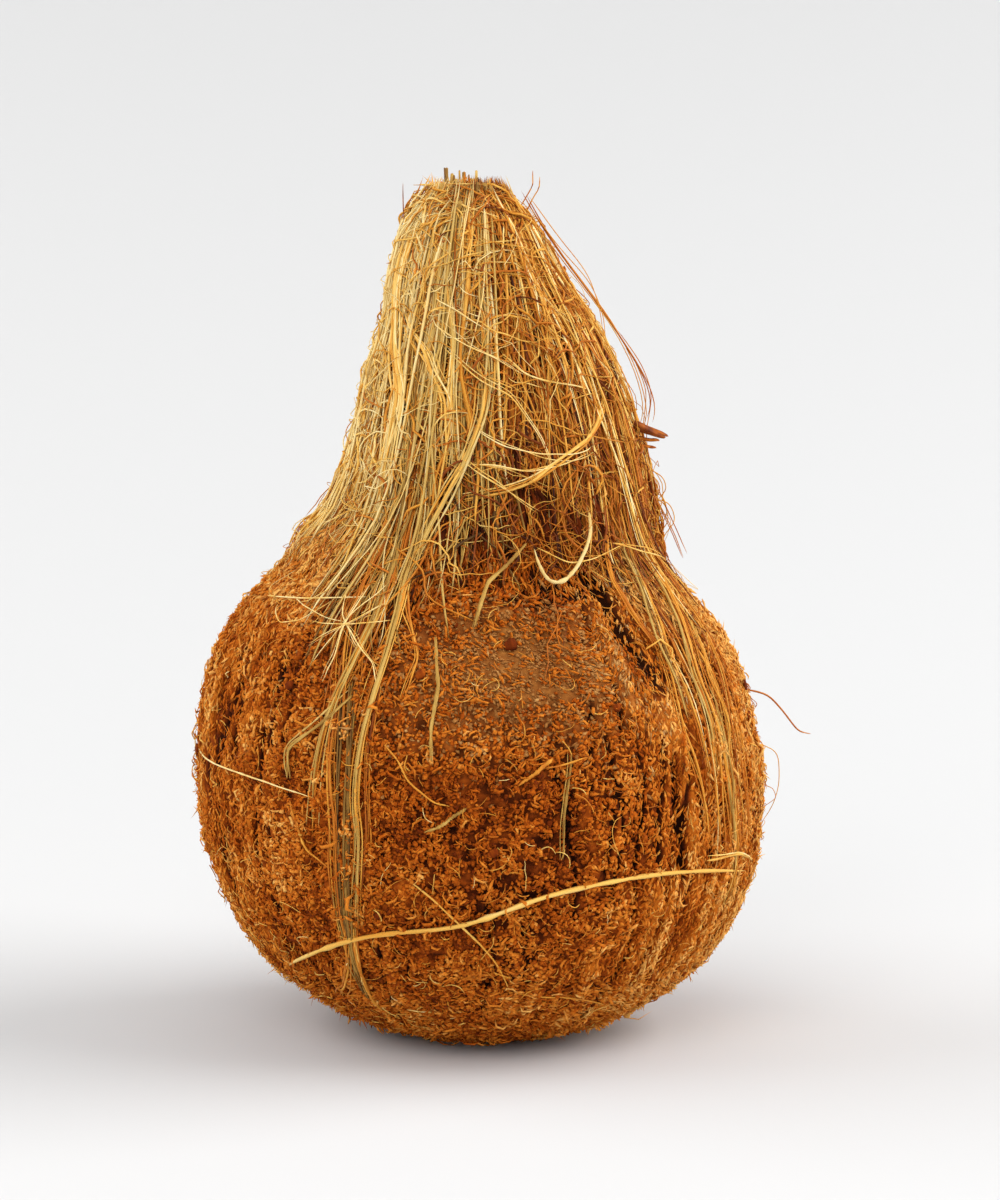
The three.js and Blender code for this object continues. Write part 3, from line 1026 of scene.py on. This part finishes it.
def cut_tip():
    """Short thick ends where the tuft was cut across its top."""
    draw = seeded(37)
    count = 300
    far = TIP_RADIUS * np.sqrt(draw.random(count))
    turn = draw.uniform(0, 6.3, count)
    foot = [TIP[0] + far * np.cos(turn), TIP[1] + far * np.sin(turn), np.full(count, 168.0)]
    foot = np.stack(foot, axis=1)
    top = foot.copy()
    top[:, :2] += draw.normal(0, 1.3, (count, 2)) * 0.6
    top[:, 2] = 177 - 0.075 * far**2 + draw.normal(-0.4, 1.7, count)
    t = np.array([0, 0.4, 0.8, 0.985, 1])[None, :, None]
    paths = foot[:, None] + (top - foot)[:, None] * t
    radii = draw.uniform(0.14, 0.5, (count, 1)) * np.array([[1, 1, 1, 0.85, 0]])
    tones = np.clip(draw.normal(0.46, 0.16, count), 0.03, 0.9)
    strands("cut_ends", paths, radii, tones, OLD_COIR, sides=5)


cut_tip()


def wander(draw, azimuth, z, heading, length, bend, lift):
    """Paths that start on the solid and creep over it, turning as they go."""
    azimuth, z, heading = azimuth.copy(), z.copy(), heading.copy()
    step = length / (lift.shape[1] - 1)
    path = []
    for high in lift.T:
        path.append(placed(azimuth, z, high))
        far = reach(azimuth, z)
        slope = (reach(azimuth, z + 1) - reach(azimuth, z - 1)) / 2
        azimuth += np.degrees(step * np.cos(heading) / np.maximum(far, 4))
        z += step * np.sin(heading) / np.sqrt(1 + slope * slope)
        z = np.clip(z, LOWEST, HIGHEST)
        heading += (bend + draw.normal(0, 0.25, len(bend))) * step
    return np.stack(path, axis=1)


def scatter_hairs(
    name, seed, count, heights, length, thickness, tone, reach_out,
    middle=0, spread=180, lean=3.2, curl=2.2,
):
    """Fine fibres that have worked loose, each creeping its own way over the coconut.

    Reach_out is how far they may stand off. Lean is how far they may point away from upright, in
    radians, and curl is how far they bend.
    """
    draw = seeded(seed)
    points = 12
    azimuth = middle + draw.uniform(-spread, spread, count)
    z = draw.uniform(*heights, count)
    size = np.exp(draw.normal(np.log(length), 0.45, count))
    size = np.clip(size, 0.4 * length, 3 * length)
    t = np.linspace(0, 1, points)
    arch = np.sin(np.pi * t * draw.uniform(0.6, 1.4, (count, 1))) ** 2
    lift = 0.5 + draw.uniform(0.2, reach_out, (count, 1)) * arch + draw.uniform(0, 0.6, (count, 1))
    bend = draw.normal(0, curl / length, count)
    bend = np.clip(bend, -2.4 / size, 2.4 / size)  # none closes into a ring
    heading = np.pi / 2 + draw.uniform(-lean, lean, count)
    paths = wander(draw, azimuth, z, heading, size, bend, lift)
    shift = 0.7 * fair(azimuth) * on_tuft(azimuth, z) - 0.2 * pithy(azimuth, z)
    tones = np.clip(draw.normal(tone, 0.14, count) + shift, 0.08, 0.97)
    strands(name, paths, fibre_radii(draw, count, points, *thickness), tones, COIR)


scatter_hairs("curls", 41, 1800, (3, 104), 3.2, (0.07, 0.16), 0.6, 0.8, curl=1.6)
scatter_hairs("tuft_hairs", 42, 330, (98, 168), 17, (0.07, 0.16), 0.72, 3.0, middle=30, spread=95)
scatter_hairs(
    "tuft_hairs_back", 43, 220, (92, 168), 15, (0.07, 0.16), 0.66, 2.6, middle=190, spread=80
)
scatter_hairs("tuft_curls", 44, 420, (96, 165), 6, (0.07, 0.15), 0.6, 1.6)
scatter_hairs("tuft_matting", 45, 1900, (96, 172), 9, (0.12, 0.34), 0.52, 1.5, lean=0.6, curl=1.4)


# ---------------- lights and floor


def make_light(name, place, size, power):
    """A square softbox aimed at the coconut, its size in metres and its power in watts."""
    light = bpy.data.objects.new(name, bpy.data.lights.new(name, "AREA"))
    scene.collection.objects.link(light)
    light.data.shape, light.data.size, light.data.energy = "SQUARE", size, power
    looking_at(light, place, (0, 0, 90))


make_light("left_softbox", (-2000, 300, 1200), 2.4, 38)
make_light("right_softbox", (2000, 0, 1200), 2.4, 72)
make_light("top_softbox", (0, -400, 2400), 2.0, 8)
make_light("front_softbox", (-500, -2200, 1300), 1.8, 31)

world = bpy.data.worlds.new("studio")
scene.world = world
world.use_nodes = True
world.node_tree.nodes["Background"].inputs["Color"].default_value = linear("#f7f7f7")
world.node_tree.nodes["Background"].inputs["Strength"].default_value = 0.45


FLOOR_RADIUS = 300  # how far the floor is flat
SWEEP_RADIUS = 3000  # the radius of the curve by which it rises


def make_floor():
    """A pale round sweep: flat under the coconut, and rising in one long curve on every side."""
    form = bmesh.new()
    profile = [(FLOOR_RADIUS / 2, 0), (FLOOR_RADIUS, 0)]
    for rise in np.radians(np.arange(2, 37, 2)):
        out = FLOOR_RADIUS + SWEEP_RADIUS * math.sin(rise)
        profile.append((out, SWEEP_RADIUS - SWEEP_RADIUS * math.cos(rise)))
    turns = np.radians(np.arange(0, 360, 4))
    rings = [
        [form.verts.new((r * math.cos(a) * MM, r * math.sin(a) * MM, z * MM)) for a in turns]
        for r, z in profile
    ]
    form.faces.new(rings[0])
    for inner, outer in zip(rings, rings[1:]):
        for k in range(len(turns)):
            form.faces.new((inner[k - 1], outer[k - 1], outer[k], inner[k]))
    mesh = bpy.data.meshes.new("paper_sweep")
    form.to_mesh(mesh)
    form.free()
    mesh.polygons.foreach_set("use_smooth", [True] * len(mesh.polygons))
    paper, tree = surface("white_paper")
    finish_surface(tree, Base_Color=linear("#d5d5d5"), Roughness=1.0, Specular_IOR_Level=0.0)
    mesh.materials.append(paper)
    floor = bpy.data.objects.new("paper_sweep", mesh)
    scene.collection.objects.link(floor)


make_floor()
scene.view_settings.view_transform = "Standard"
